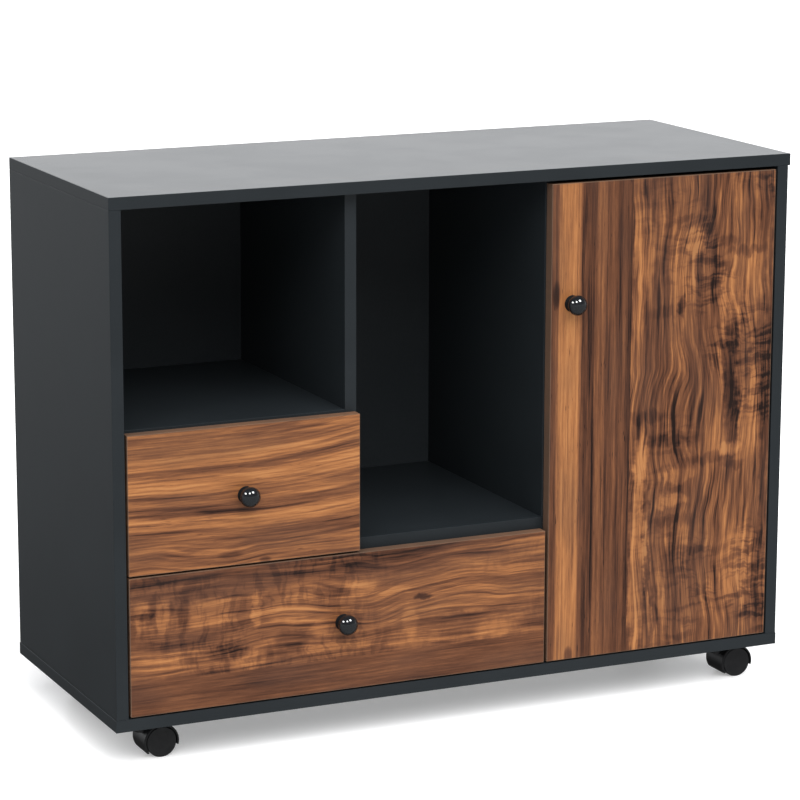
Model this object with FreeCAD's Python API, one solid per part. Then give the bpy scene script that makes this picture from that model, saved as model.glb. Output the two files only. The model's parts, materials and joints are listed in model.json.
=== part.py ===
import FreeCAD, Part
import math
import os

# Mobile printer stand: a black melamine cabinet on four twin-wheel casters, with two open
# compartments, two drawers on roller runners and one door on concealed hinges.
#
# Millimetres. Origin on the floor, below the middle of the whole object's box.
# +X to the user's right, +Y from the front to the back, +Z up.

V = FreeCAD.Vector
X = V(1, 0, 0)
Y = V(0, 1, 0)
Z = V(0, 0, 1)

# ---- driving dimensions ----------------------------------------

CABINET_WIDTH = 900.0       # over the two side panels
CABINET_DEPTH = 360.0
CABINET_HEIGHT = 637.0      # underside of the bottom board to the top surface
BOARD = 15.0                # every board, front and shelf
EDGE_ROUND = 0.6            # softened arris of a banded board edge
TOP_OVERHANG = 3.0          # top board past the right side panel; the left end is flush
BOTTOM_OVERHANG = 0.8       # bottom board past each side panel

DIVIDER_X = 301.0           # left face of the upper divider, from the left outer face
MAIN_DIVIDER_X = 567.5      # left face of the full-height divider, likewise
MIDDLE_SHELF_Z = 185.0      # underside of the shelf over the lower drawer, from the bottom
LEFT_SHELF_Z = 345.5        # underside of the shelf over the upper drawer, likewise
INNER_SETBACK = 16.5        # front edges of dividers and shelves behind the front plane

BACK_PANEL = 3.0            # hardboard
BACK_PANEL_INSET = 346.0    # front plane to the back panel's inner face
GROOVE_DEPTH = 5.0
GROOVE_PLAY = 0.2

GAP_LEFT = 3.0              # left side panel to the drawer fronts
GAP_TOP = 4.0               # door to top board
GAP_BOTTOM = 2.0            # lower fronts to bottom board
GAP_RIGHT = 2.5             # door to right side panel
FRONT_HEIGHT = 169.0        # both drawer fronts
FRONT_GAP = 2.5             # between the two drawer fronts
UPPER_FRONT_WIDTH = 295.5
LOWER_FRONT_WIDTH = 546.5
DOOR_WIDTH = 314.0

RUNNER_CLEARANCE = 12.5     # drawer side to cabinet wall
RUNNER_LENGTH = 300.0
DRAWER_SIDE = 12.0
DRAWER_BOTTOM = 3.0
UPPER_DRAWER_HEIGHT = 105.0
LOWER_DRAWER_HEIGHT = 130.0

KNOB_LENGTH = 24.0
KNOB_RADIUS = 12.5
KNOB_BASE_RADIUS = 10.4
KNOB_NECK_RADIUS = 9.6
DOOR_KNOB_IN = 29.0         # knob axis from the door's left edge
DOOR_KNOB_Z = 469.5         # knob axis above the cabinet's underside

CASTER_HEIGHT = 50.0
CASTER_INSET_X = 52.0       # kingpin from the side panel's outer face
CASTER_INSET_Y = 58.0       # kingpin from the front plane and from the back
CASTER_TRAIL = 18.0         # wheel axle behind the kingpin
WHEEL_RADIUS = 19.0

HINGE_FROM_END = 90.0       # hinge centre from the door's top and bottom edges
HINGE_IN = 10.0             # pivot from the door's right edge
HINGE_DEEP = 6.2            # pivot behind the door's front face

# ---- places worked out from them ----------------------------------------

FRONT = KNOB_LENGTH - (CABINET_DEPTH + KNOB_LENGTH) / 2
BACK = FRONT + CABINET_DEPTH
LEFT = -(CABINET_WIDTH + TOP_OVERHANG) / 2
RIGHT = LEFT + CABINET_WIDTH
UNDER = CASTER_HEIGHT
FLOOR_Z = UNDER + BOARD                       # top face of the bottom board
TOP_Z = UNDER + CABINET_HEIGHT                # top surface
CEILING_Z = TOP_Z - BOARD                     # underside of the top board

LEFT_WALL = LEFT + BOARD                      # inner faces of the compartments
RIGHT_WALL = RIGHT - BOARD
DIVIDER_LEFT = LEFT + DIVIDER_X
DIVIDER_RIGHT = DIVIDER_LEFT + BOARD
MAIN_LEFT = LEFT + MAIN_DIVIDER_X
MAIN_RIGHT = MAIN_LEFT + BOARD
MIDDLE_SHELF_BOTTOM = UNDER + MIDDLE_SHELF_Z
MIDDLE_SHELF_TOP = MIDDLE_SHELF_BOTTOM + BOARD
LEFT_SHELF_BOTTOM = UNDER + LEFT_SHELF_Z
LEFT_SHELF_TOP = LEFT_SHELF_BOTTOM + BOARD
INNER_FRONT = FRONT + INNER_SETBACK
INNER_BACK = FRONT + BACK_PANEL_INSET         # inner face of the back panels
FRONT_REAR = FRONT + BOARD                    # rear face of drawer fronts and door

LOWER_FRONT_BOTTOM = FLOOR_Z + GAP_BOTTOM
UPPER_FRONT_BOTTOM = LOWER_FRONT_BOTTOM + FRONT_HEIGHT + FRONT_GAP
FRONTS_LEFT = LEFT_WALL + GAP_LEFT
DOOR_RIGHT = RIGHT_WALL - GAP_RIGHT
DOOR_LEFT = DOOR_RIGHT - DOOR_WIDTH
DOOR_BOTTOM = LOWER_FRONT_BOTTOM
DOOR_TOP = CEILING_Z - GAP_TOP

# ---- hardware sizes ----------------------------------------

CAM_RADIUS = 7.4
CAM_HOLE_RADIUS = 7.5
CAM_DEPTH = 12.0
CAM_SETBACK = 24.0          # cam centre from the joint
CAM_BOLT_RADIUS = 3.0
CAM_BOLT_HOLE = 3.6
CAM_BOLT_THREAD = 10.0
DOWEL_RADIUS = 4.0
DOWEL_LENGTH = 30.0
DOWEL_IN_FACE = 10.0
FITTING_FRONT = 60.0        # cams, from the front plane
FITTING_BACK = 300.0
DOWEL_FRONT = 110.0
DOWEL_BACK = 250.0

SHEET = 1.2                 # runner sheet steel
RUNNER_RISE = 10.0          # runner above the board below it
RUNNER_HEIGHT = 28.0
RUNNER_FLANGE = 10.3        # reach of the cabinet runner's flanges from the wall
DRAWER_SEAT = 6.0           # underside of the drawer side above the runner's bottom
RAIL_UNDER = 21.1           # underside of the drawer rail that rides on the front roller
RAIL_REACH = 2.8            # edge of that rail from the wall
ROLLER_RADIUS = 9.0
ROLLER_BORE = 2.05
ROLLER_PIN = 2.0
ROLLER_HEAD = 3.5
FRONT_ROLLER_Z = 11.8
REAR_ROLLER_Z = 10.5
FRONT_ROLLER_Y = 32.0       # from the front plane
REAR_ROLLER_Y = 300.0
RUNNER_START = 18.0         # front end of the cabinet runner, from the front plane
FIX_HEAD = 0.9              # flat head of a runner screw
FIX_HEAD_RADIUS = 3.2
FIX_RADIUS = 1.75
FIX_CLEARANCE = 2.0

CUP_RADIUS = 17.5
CUP_DEPTH = 12.5
CUP_WALL = 1.0
CUP_EDGE = 4.0              # cup hole from the door's right edge
CUP_FLANGE = 1.0
CUP_FLANGE_LENGTH = 64.0
CUP_SCREW_SPACING = 48.0
HINGE_PIN = 1.25
HINGE_BORE = 1.3
HINGE_KNUCKLE = 2.4
HINGE_HALF_WIDTH = 6.0
HINGE_ARM = 2.5             # thickness of the arm behind the door
HINGE_REACH = 13.0          # pivot to the arm's leg that leaves the cup
HINGE_PLATE = 2.0

KINGPIN_RADIUS = 4.0
KINGPIN_BORE = 4.05
KINGPIN_END = 33.0
CASTER_PLATE = 2.0
CASTER_PLATE_SIDE = 42.0
CASTER_HOLE_SPACING = 32.0
HOOD_RADIUS = 22.3
WELL_RADIUS = 19.9
HOOD_HALF_WIDTH = 21.0
WEB_HALF = 6.0
NECK_RADIUS = 10.0
NECK_TOP = 47.5
AXLE_RADIUS = 3.0
AXLE_BORE = 3.05
WHEEL_INNER = 6.5           # wheel's inner face from the caster's middle plane
WHEEL_OUTER = 20.5
WHEEL_CAP = 1.3             # closed outer wall over the axle's end
WHEEL_ROUND = 1.4

SHELF_PIN_RADIUS = 2.5
SHELF_PIN_LENGTH = 18.0
SHELF_PIN_DEEP = 10.0
PIN_ROW_PITCH = 32.0
ADJUSTABLE_SHELF_BOTTOM = 360.0
ADJUSTABLE_SHELF_PLAY = 1.0


# ---- plain shapes ----------------------------------------

def box(x0, x1, y0, y1, z0, z1):
    return Part.makeBox(x1 - x0, y1 - y0, z1 - z0, V(x0, y0, z0))


def board(x0, x1, y0, y1, z0, z1):
    """A flat board with softened edges."""
    blank = box(x0, x1, y0, y1, z0, z1)
    return blank.makeFillet(EDGE_ROUND, blank.Edges)


def rod(start, along, radius, length):
    return Part.makeCylinder(radius, length, start, along)


def turned(outline, origin, axis, radial):
    """Solid of revolution. Outline items are lists of (radius, height) pairs: two pairs
    make a line and three make an arc."""
    edges = []
    for item in outline:
        points = [origin + radial * r + axis * h for r, h in item]
        if len(points) == 2:
            edges.append(Part.LineSegment(points[0], points[1]).toShape())
        else:
            edges.append(Part.Arc(points[0], points[1], points[2]).toShape())
    face = Part.Face(Part.Wire(edges))
    return face.revolve(origin, axis, 360)


def joined(solids):
    whole = solids[0].fuse(solids[1:])
    return whole.removeSplitter()


def screw(seat, along, length, radius, head_radius, head_height):
    """A screw whose head sits on the seat point and whose shank runs along."""
    side = V(along.y, along.z, along.x)
    outline = [
        [(0, -head_height), (head_radius, -head_height)],
        [(head_radius, -head_height), (head_radius, 0)],
        [(head_radius, 0), (radius, 0)],
        [(radius, 0), (radius, length - radius)],
        [(radius, length - radius), (0, length)],
        [(0, length), (0, -head_height)],
    ]
    return turned(outline, seat, along, side)


# ---- bookkeeping: boards, their holes, and the groups of small parts ----------------------------------------

boards = {}
holes = {}
groups = {}


def drill(name, tool):
    holes.setdefault(name, []).append(tool)


def add(group, solid):
    groups.setdefault(group, []).append(solid)


# ---- knock-down fittings ----------------------------------------

def cam_fitting(point, along, face, carrier, anchor, lock_group, bolt_group, half=BOARD / 2,
                depth=CAM_DEPTH):
    """A cam lock in the carrier board and its bolt, which stands in the anchor board at
    the joint and runs along into the carrier. The cam drops in from the side that face
    points to."""
    centre = point + along * CAM_SETBACK
    mouth = centre + face * half
    drill(carrier, rod(mouth, -face, CAM_HOLE_RADIUS, depth + 0.3))
    drill(carrier, rod(point, along, CAM_BOLT_HOLE, CAM_SETBACK))
    drill(anchor, rod(point, -along, CAM_BOLT_RADIUS, CAM_BOLT_THREAD))
    passage = rod(point, along, CAM_BOLT_HOLE, CAM_SETBACK + CAM_BOLT_HOLE)
    side = face.cross(along)
    cross = []
    for long_way, short_way in ((along, side), (side, along)):
        corner = mouth - long_way * 4 - short_way * 0.6 - face * 1.5
        far = mouth + long_way * 4 + short_way * 0.6
        lows = [min(a, b) for a, b in zip(corner, far)]
        highs = [max(a, b) for a, b in zip(corner, far)]
        cross.append(box(lows[0], highs[0], lows[1], highs[1], lows[2], highs[2]))
    cam = rod(mouth, -face, CAM_RADIUS, depth)
    add(lock_group, cam.cut([passage] + cross))
    bolt_length = CAM_BOLT_THREAD + CAM_SETBACK + 2
    add(bolt_group, rod(point - along * CAM_BOLT_THREAD, along, CAM_BOLT_RADIUS, bolt_length))


def dowel(point, along, carrier, anchor):
    start = point - along * DOWEL_IN_FACE
    drill(carrier, rod(point, along, DOWEL_RADIUS, DOWEL_LENGTH - DOWEL_IN_FACE))
    drill(anchor, rod(start, along, DOWEL_RADIUS, DOWEL_IN_FACE))
    add("dowels", rod(start, along, DOWEL_RADIUS, DOWEL_LENGTH))


def board_joint(x, z, along, face, carrier, anchor):
    """Two cam fittings and two dowels where the carrier's edge meets the anchor's face."""
    for distance in (FITTING_FRONT, FITTING_BACK):
        point = V(x, FRONT + distance, z)
        cam_fitting(point, along, face, carrier, anchor, "cam_locks", "cam_bolts")
    for distance in (DOWEL_FRONT, DOWEL_BACK):
        dowel(V(x, FRONT + distance, z), along, carrier, anchor)


# ---- cabinet ----------------------------------------

def groove(name, x0, x1, z0, z1):
    y0 = INNER_BACK
    drill(name, box(x0, x1, y0, y0 + BACK_PANEL + GROOVE_PLAY, z0, z1))


def make_cabinet_boards():
    boards["top_board"] = board(
        LEFT, RIGHT + TOP_OVERHANG, FRONT, BACK, CEILING_Z, TOP_Z)
    boards["bottom_board"] = board(
        LEFT - BOTTOM_OVERHANG, RIGHT + BOTTOM_OVERHANG, FRONT, BACK, UNDER, FLOOR_Z)
    boards["left_side_panel"] = board(LEFT, LEFT_WALL, FRONT, BACK, FLOOR_Z, CEILING_Z)
    boards["right_side_panel"] = board(RIGHT_WALL, RIGHT, FRONT, BACK, FLOOR_Z, CEILING_Z)
    boards["main_divider"] = board(
        MAIN_LEFT, MAIN_RIGHT, INNER_FRONT, BACK, FLOOR_Z, CEILING_Z)
    boards["upper_divider"] = board(
        DIVIDER_LEFT, DIVIDER_RIGHT, INNER_FRONT, INNER_BACK, MIDDLE_SHELF_TOP, CEILING_Z)
    boards["left_shelf"] = board(
        LEFT_WALL, DIVIDER_LEFT, INNER_FRONT, INNER_BACK, LEFT_SHELF_BOTTOM, LEFT_SHELF_TOP)
    boards["middle_shelf"] = board(
        LEFT_WALL, MAIN_LEFT, INNER_FRONT, INNER_BACK, MIDDLE_SHELF_BOTTOM, MIDDLE_SHELF_TOP)


def make_cabinet_joints():
    left_mid = LEFT + BOARD / 2
    right_mid = RIGHT - BOARD / 2
    main_mid = MAIN_LEFT + BOARD / 2
    upper_mid = DIVIDER_LEFT + BOARD / 2
    board_joint(left_mid, FLOOR_Z, Z, X, "left_side_panel", "bottom_board")
    board_joint(left_mid, CEILING_Z, -Z, X, "left_side_panel", "top_board")
    board_joint(right_mid, FLOOR_Z, Z, -X, "right_side_panel", "bottom_board")
    board_joint(right_mid, CEILING_Z, -Z, -X, "right_side_panel", "top_board")
    board_joint(main_mid, FLOOR_Z, Z, X, "main_divider", "bottom_board")
    board_joint(main_mid, CEILING_Z, -Z, X, "main_divider", "top_board")
    board_joint(upper_mid, MIDDLE_SHELF_TOP, Z, X, "upper_divider", "middle_shelf")
    board_joint(upper_mid, CEILING_Z, -Z, X, "upper_divider", "top_board")
    middle_z = MIDDLE_SHELF_BOTTOM + BOARD / 2
    left_z = LEFT_SHELF_BOTTOM + BOARD / 2
    board_joint(LEFT_WALL, middle_z, X, -Z, "middle_shelf", "left_side_panel")
    board_joint(MAIN_LEFT, middle_z, -X, -Z, "middle_shelf", "main_divider")
    board_joint(LEFT_WALL, left_z, X, -Z, "left_shelf", "left_side_panel")
    board_joint(DIVIDER_LEFT, left_z, -X, -Z, "left_shelf", "upper_divider")


def make_back_panels():
    reach = GROOVE_DEPTH - GROOVE_PLAY
    z0 = FLOOR_Z - reach
    z1 = CEILING_Z + reach
    for name, x0, x1 in (("back_panel_left", LEFT_WALL, MAIN_LEFT),
                         ("back_panel_right", MAIN_RIGHT, RIGHT_WALL)):
        boards[name] = box(
            x0 - reach, x1 + reach, INNER_BACK, INNER_BACK + BACK_PANEL, z0, z1)
        for board_name, low, high in (("bottom_board", FLOOR_Z - GROOVE_DEPTH, FLOOR_Z),
                                      ("top_board", CEILING_Z, CEILING_Z + GROOVE_DEPTH)):
            groove(board_name, x0 - GROOVE_DEPTH, x1 + GROOVE_DEPTH, low, high)
    groove("left_side_panel", LEFT_WALL - GROOVE_DEPTH, LEFT_WALL, FLOOR_Z, CEILING_Z)
    groove("right_side_panel", RIGHT_WALL, RIGHT_WALL + GROOVE_DEPTH, FLOOR_Z, CEILING_Z)
    groove("main_divider", MAIN_LEFT, MAIN_LEFT + GROOVE_DEPTH, FLOOR_Z, CEILING_Z)
    groove("main_divider", MAIN_RIGHT - GROOVE_DEPTH, MAIN_RIGHT, FLOOR_Z, CEILING_Z)


def make_adjustable_shelf():
    """Shelf behind the door, on four pins, with spare pin holes above and below."""
    bottom = ADJUSTABLE_SHELF_BOTTOM
    boards["adjustable_shelf"] = board(
        MAIN_RIGHT + ADJUSTABLE_SHELF_PLAY, RIGHT_WALL - ADJUSTABLE_SHELF_PLAY,
        FRONT + 45, INNER_BACK - 2, bottom, bottom + BOARD)
    pin_z = bottom - SHELF_PIN_RADIUS
    for name, wall, into in (("main_divider", MAIN_RIGHT, -X),
                             ("right_side_panel", RIGHT_WALL, X)):
        for y in (FRONT + 85, FRONT + 310):
            for row in (-1, 0, 1):
                mouth = V(wall, y, pin_z + row * PIN_ROW_PITCH)
                drill(name, rod(mouth, into, SHELF_PIN_RADIUS, SHELF_PIN_DEEP))
            start = V(wall, y, pin_z) + into * SHELF_PIN_DEEP
            add("shelf_pins", rod(start, -into, SHELF_PIN_RADIUS, SHELF_PIN_LENGTH))


# ---- knobs ----------------------------------------

def make_knob(name, x, z, front_name, screw_group):
    """Mushroom knob, turned about Y, and the machine screw that holds it from behind."""
    base = V(x, FRONT, z)
    bore = 10.0
    rim, rim_height = 10.9, 18.6
    dome_centre = (KNOB_LENGTH ** 2 - rim ** 2 - rim_height ** 2) / (2 * (KNOB_LENGTH - rim_height))
    dome_radius = KNOB_LENGTH - dome_centre
    dome_middle = dome_centre + math.sqrt(dome_radius ** 2 - (rim / 2) ** 2)
    outline = [
        [(2.0, 0), (KNOB_BASE_RADIUS, 0)],
        [(KNOB_BASE_RADIUS, 0), (KNOB_BASE_RADIUS, 1.4)],
        [(KNOB_BASE_RADIUS, 1.4), (9.8, 3.2), (KNOB_NECK_RADIUS, 5.6)],
        [(KNOB_NECK_RADIUS, 5.6), (10.1, 8.4), (11.2, 10.8)],
        [(11.2, 10.8), (KNOB_RADIUS, 14.8), (rim, rim_height)],
        [(rim, rim_height), (rim / 2, dome_middle), (0, KNOB_LENGTH)],
        [(0, KNOB_LENGTH), (0, bore)],
        [(0, bore), (2.0, bore)],
        [(2.0, bore), (2.0, 0)],
    ]
    boards[name] = turned(outline, base, -Y, X)
    drill(front_name, rod(base, Y, 2.2, BOARD))
    add(screw_group, screw(V(x, FRONT_REAR, z), -Y, BOARD + 9, 2.0, 4.0, 2.5))


# ---- drawers and runners ----------------------------------------

def wall_box(wall, inward, a0, a1, y0, y1, z0, z1):
    """A box between two distances from a wall, on the side that inward (+1 or -1) gives."""
    ends = sorted((wall + inward * a0, wall + inward * a1))
    return box(ends[0], ends[1], y0, y1, z0, z1)


def make_cabinet_runner(wall, inward, wall_name, z0, roller_group):
    """Channel on the cabinet wall with its front roller's pin, and the roller."""
    start = FRONT + RUNNER_START
    end = start + RUNNER_LENGTH
    top = z0 + RUNNER_HEIGHT
    into = X * inward
    pin_at = V(wall, FRONT + FRONT_ROLLER_Y, z0 + FRONT_ROLLER_Z)
    profile = [
        wall_box(wall, inward, 0, SHEET, start, end, z0, top),
        wall_box(wall, inward, 0, RUNNER_FLANGE, start, end, z0, z0 + SHEET),
        wall_box(wall, inward, 0, RUNNER_FLANGE, start + 45, end, top - SHEET, top),
        rod(pin_at, into, ROLLER_PIN, 10.0),
        rod(pin_at + into * 9.0, into, ROLLER_HEAD, 1.0),
    ]
    runner = joined(profile)
    for distance in (70, 170, 290):
        seat = V(wall, FRONT + distance, z0 + 10)
        runner = runner.cut(rod(seat, into, FIX_CLEARANCE, SHEET))
        drill(wall_name, rod(seat, -into, FIX_RADIUS, 11))
        add("cabinet_screws", screw(
            seat + into * SHEET, -into, 11, FIX_RADIUS, FIX_HEAD_RADIUS, FIX_HEAD))
    add("cabinet_runners", runner)
    roller = rod(pin_at + into * 2.0, into, ROLLER_RADIUS, 6.6)
    add(roller_group, roller.cut(rod(pin_at, into, ROLLER_BORE, 12)))


def make_drawer_runner(wall, inward, sides_name, z0, group, screw_group, roller_group):
    """Angle under the drawer side with the rear roller's pin, and the roller."""
    outer = RUNNER_CLEARANCE - SHEET
    start = FRONT_REAR + 0.5
    end = FRONT + RUNNER_START + RUNNER_LENGTH - 4
    seat_z = z0 + DRAWER_SEAT
    rail = z0 + RAIL_UNDER
    into = X * inward
    pin_at = V(wall + inward * outer, FRONT + REAR_ROLLER_Y, z0 + REAR_ROLLER_Z)
    rail_start = FRONT + RUNNER_START + 2
    profile = [
        wall_box(wall, inward, outer, RUNNER_CLEARANCE, start, end, seat_z - SHEET, rail + SHEET),
        wall_box(wall, inward, outer, RUNNER_CLEARANCE + DRAWER_SIDE, start, end,
                 seat_z - SHEET, seat_z),
        wall_box(wall, inward, RAIL_REACH, outer, rail_start, end, rail, rail + SHEET),
        rod(pin_at, -into, ROLLER_PIN, outer - 2.5),
        rod(pin_at - into * (outer - 3.1), -into, ROLLER_HEAD, 0.6),
    ]
    runner = joined(profile)
    for distance in (50, 165, 270):
        seat = V(wall + inward * outer, FRONT + distance, z0 + 13)
        runner = runner.cut(rod(seat, into, FIX_CLEARANCE, SHEET))
        drill(sides_name, rod(seat + into * SHEET, into, FIX_RADIUS, 9))
        add(screw_group, screw(seat, into, 9 + SHEET, FIX_RADIUS, FIX_HEAD_RADIUS, FIX_HEAD))
    add(group, runner)
    roller = rod(pin_at - into * 1.7, -into, ROLLER_RADIUS, 6.2)
    add(roller_group, roller.cut(rod(pin_at, -into, ROLLER_BORE, 12)))


def make_drawer(which, bay_left, bay_right, left_name, right_name, bay_floor, height,
                front_width, front_bottom):
    """One drawer: front, two sides, back, bottom, knob, runners, rollers and fasteners."""
    front = which + "_drawer_front"
    sides = which + "_drawer_sides"
    rear = which + "_drawer_back"
    base = which + "_drawer_bottom"
    runners = which + "_drawer_runners"
    fasteners = which + "_drawer_fasteners"
    front_rollers = which + "_front_rollers"
    rear_rollers = which + "_rear_rollers"
    runner_z = bay_floor + RUNNER_RISE
    low = runner_z + DRAWER_SEAT
    high = low + height
    end = FRONT + RUNNER_START + RUNNER_LENGTH - 4
    boards[front] = board(
        FRONTS_LEFT, FRONTS_LEFT + front_width, FRONT, FRONT_REAR,
        front_bottom, front_bottom + FRONT_HEIGHT)
    make_cabinet_runner(bay_left, 1, left_name, runner_z, front_rollers)
    make_cabinet_runner(bay_right, -1, right_name, runner_z, front_rollers)
    side_solids = []
    for wall, inward in ((bay_left, 1), (bay_right, -1)):
        make_drawer_runner(
            wall, inward, sides, runner_z, runners, fasteners, rear_rollers)
        outer = wall + inward * RUNNER_CLEARANCE
        faces = sorted((outer, outer + inward * DRAWER_SIDE))
        side_solids.append(board(faces[0], faces[1], FRONT_REAR, end, low, high))
        middle = outer + inward * DRAWER_SIDE / 2
        for z in (low + 32, high - 20):
            cam_fitting(V(middle, FRONT_REAR, z), Y, X * -inward, sides, front,
                        fasteners, fasteners, half=DRAWER_SIDE / 2, depth=9.5)
        for z in (low + 35, high - 25):
            seat = V(outer, end - DRAWER_SIDE / 2, z)
            into = X * inward
            drill(sides, rod(seat, into, FIX_RADIUS, DRAWER_SIDE))
            drill(rear, rod(seat + into * DRAWER_SIDE, into, FIX_RADIUS, 22))
            drill(sides, rod(seat, into, FIX_HEAD_RADIUS, 1.5))
            add(fasteners, screw(seat + into * 1.5, into, 30, FIX_RADIUS, FIX_HEAD_RADIUS, 1.5))
    boards[sides] = Part.makeCompound(side_solids)
    inner_left = bay_left + RUNNER_CLEARANCE + DRAWER_SIDE
    inner_right = bay_right - RUNNER_CLEARANCE - DRAWER_SIDE
    bottom_z = low + 10
    boards[rear] = board(
        inner_left, inner_right, end - DRAWER_SIDE, end, bottom_z + DRAWER_BOTTOM, high)
    reach = GROOVE_DEPTH - GROOVE_PLAY
    boards[base] = box(
        inner_left - reach, inner_right + reach, FRONT_REAR - reach, end,
        bottom_z, bottom_z + DRAWER_BOTTOM)
    slot_top = bottom_z + DRAWER_BOTTOM + GROOVE_PLAY
    drill(sides, box(inner_left - GROOVE_DEPTH, inner_left, FRONT_REAR, end, bottom_z, slot_top))
    drill(sides, box(inner_right, inner_right + GROOVE_DEPTH, FRONT_REAR, end, bottom_z, slot_top))
    drill(front, box(inner_left - GROOVE_DEPTH, inner_right + GROOVE_DEPTH,
                     FRONT_REAR - GROOVE_DEPTH, FRONT_REAR, bottom_z, slot_top))
    make_knob(which + "_drawer_knob", FRONTS_LEFT + front_width / 2,
              front_bottom + FRONT_HEIGHT / 2, front, fasteners)


# ---- door and hinges ----------------------------------------

def make_hinge(z):
    """Concealed cup hinge: cup and pin on the door, cranked arm and plate on the side panel."""
    pivot = V(DOOR_RIGHT - HINGE_IN, FRONT + HINGE_DEEP, z)
    cup_x = DOOR_RIGHT - CUP_EDGE - CUP_RADIUS
    mouth = V(cup_x, FRONT_REAR, z)
    half = CUP_FLANGE_LENGTH / 2
    flange = joined([
        rod(mouth, Y, CUP_RADIUS + 2, CUP_FLANGE),
        box(cup_x - 8, cup_x + 8, FRONT_REAR, FRONT_REAR + CUP_FLANGE, z - half, z + half),
    ])
    cup = joined([rod(mouth, -Y, CUP_RADIUS, CUP_DEPTH), flange])
    cavity_depth = CUP_DEPTH - CUP_WALL
    cavity = rod(mouth - Y * cavity_depth, Y, CUP_RADIUS - CUP_WALL, cavity_depth + 2)
    pin_half = 11.9
    pin = rod(pivot - Z * pin_half, Z, HINGE_PIN, 2 * pin_half)
    cup = cup.cut([cavity, pin])
    drill("door_panel", rod(mouth, -Y, CUP_RADIUS, CUP_DEPTH))
    for side in (-1, 1):
        seat = V(cup_x, FRONT_REAR + CUP_FLANGE, z + side * CUP_SCREW_SPACING / 2)
        cup = cup.cut(rod(seat, -Y, FIX_CLEARANCE, CUP_FLANGE))
        drill("door_panel", rod(seat, -Y, FIX_RADIUS, 12))
        add("door_screws", screw(seat, -Y, 12, FIX_RADIUS, FIX_HEAD_RADIUS, FIX_HEAD))
    add("hinge_cups", cup)
    add("hinge_pins", pin)

    wide = HINGE_HALF_WIDTH
    leg_x = pivot.x - HINGE_REACH
    leg_y = pivot.y + 18
    face_x = RIGHT_WALL - HINGE_PLATE
    arm_end = FRONT + 66
    t = HINGE_ARM / 2
    arm = joined([
        rod(pivot - Z * wide, Z, HINGE_KNUCKLE, 2 * wide),
        box(leg_x - t, pivot.x, pivot.y - 1, pivot.y + 1, z - wide, z + wide),
        box(leg_x - t, leg_x + t, pivot.y - 1, leg_y + t, z - wide, z + wide),
        box(leg_x - t, face_x, leg_y - t, leg_y + t, z - wide, z + wide),
        box(face_x - HINGE_ARM, face_x, leg_y - t, arm_end, z - wide, z + wide),
    ])
    arm = arm.cut(rod(pivot - Z * wide, Z, HINGE_BORE, 2 * wide))
    arm_screw_y = FRONT + 55
    arm_seat = V(face_x - HINGE_ARM, arm_screw_y, z)
    through = rod(arm_seat, X, FIX_RADIUS, HINGE_ARM + HINGE_PLATE)
    plate = box(face_x, RIGHT_WALL, FRONT + 29, FRONT + 70, z - 24, z + 24)
    plate = plate.cut(through)
    add("cabinet_screws", screw(
        arm_seat, X, HINGE_ARM + HINGE_PLATE, FIX_RADIUS, FIX_HEAD_RADIUS, 2.0))
    for side in (-1, 1):
        seat = V(face_x, FRONT + 37, z + side * 16)
        plate = plate.cut(rod(seat, X, FIX_CLEARANCE, HINGE_PLATE))
        drill("right_side_panel", rod(seat + X * HINGE_PLATE, X, FIX_RADIUS, 11))
        add("cabinet_screws", screw(
            seat, X, 11 + HINGE_PLATE, FIX_RADIUS, FIX_HEAD_RADIUS, FIX_HEAD))
    add("hinge_arms", arm.cut(through))
    add("hinge_plates", plate)


def make_door():
    boards["door_panel"] = board(
        DOOR_LEFT, DOOR_RIGHT, FRONT, FRONT_REAR, DOOR_BOTTOM, DOOR_TOP)
    make_knob("door_knob", DOOR_LEFT + DOOR_KNOB_IN, UNDER + DOOR_KNOB_Z,
              "door_panel", "door_screws")
    for z in (DOOR_BOTTOM + HINGE_FROM_END, DOOR_TOP - HINGE_FROM_END):
        make_hinge(z)


# ---- casters ----------------------------------------

def caster_housing(king, hub):
    """Moulded hood over the twin wheels, with the middle web and the kingpin's neck."""
    half = HOOD_HALF_WIDTH
    edge = 1.0
    hood = turned([
        [(WELL_RADIUS, -half), (HOOD_RADIUS - edge, -half)],
        [(HOOD_RADIUS - edge, -half), (HOOD_RADIUS, edge - half)],
        [(HOOD_RADIUS, edge - half), (HOOD_RADIUS, half - edge)],
        [(HOOD_RADIUS, half - edge), (HOOD_RADIUS - edge, half)],
        [(HOOD_RADIUS - edge, half), (WELL_RADIUS, half)],
        [(WELL_RADIUS, half), (WELL_RADIUS, -half)],
    ], hub, Y, X)
    web = rod(hub - Y * WEB_HALF, Y, HOOD_RADIUS - edge, 2 * WEB_HALF)
    boss = rod(hub - Y * WEB_HALF, Y, 2.5 * AXLE_RADIUS, 2 * WEB_HALF)
    reach = 3 * HOOD_RADIUS
    corners = [hub - Y * 2 * half]
    for degrees in (217, 250, 300, 346):
        angle = math.radians(degrees)
        corners.append(corners[0] + V(math.cos(angle), 0, math.sin(angle)) * reach)
    open_side = Part.Face(Part.makePolygon(corners + corners[:1])).extrude(Y * 4 * half)
    neck_low = V(king.x, king.y, KINGPIN_END - 3)
    neck = rod(neck_low, Z, NECK_RADIUS, NECK_TOP - neck_low.z)
    wells = [
        rod(hub + Y * WEB_HALF, Y, WELL_RADIUS, 2 * half),
        rod(hub - Y * WEB_HALF, -Y, WELL_RADIUS, 2 * half),
    ]
    pin_bore = rod(V(king.x, king.y, KINGPIN_END - 0.5), Z, KINGPIN_BORE, NECK_TOP)
    axle_bore = rod(hub - Y * half, Y, AXLE_RADIUS, 2 * half)
    shell = hood.fuse(web).cut(open_side)
    whole = joined([shell, boss, neck])
    return whole.cut(wells + [pin_bore, axle_bore])


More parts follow.
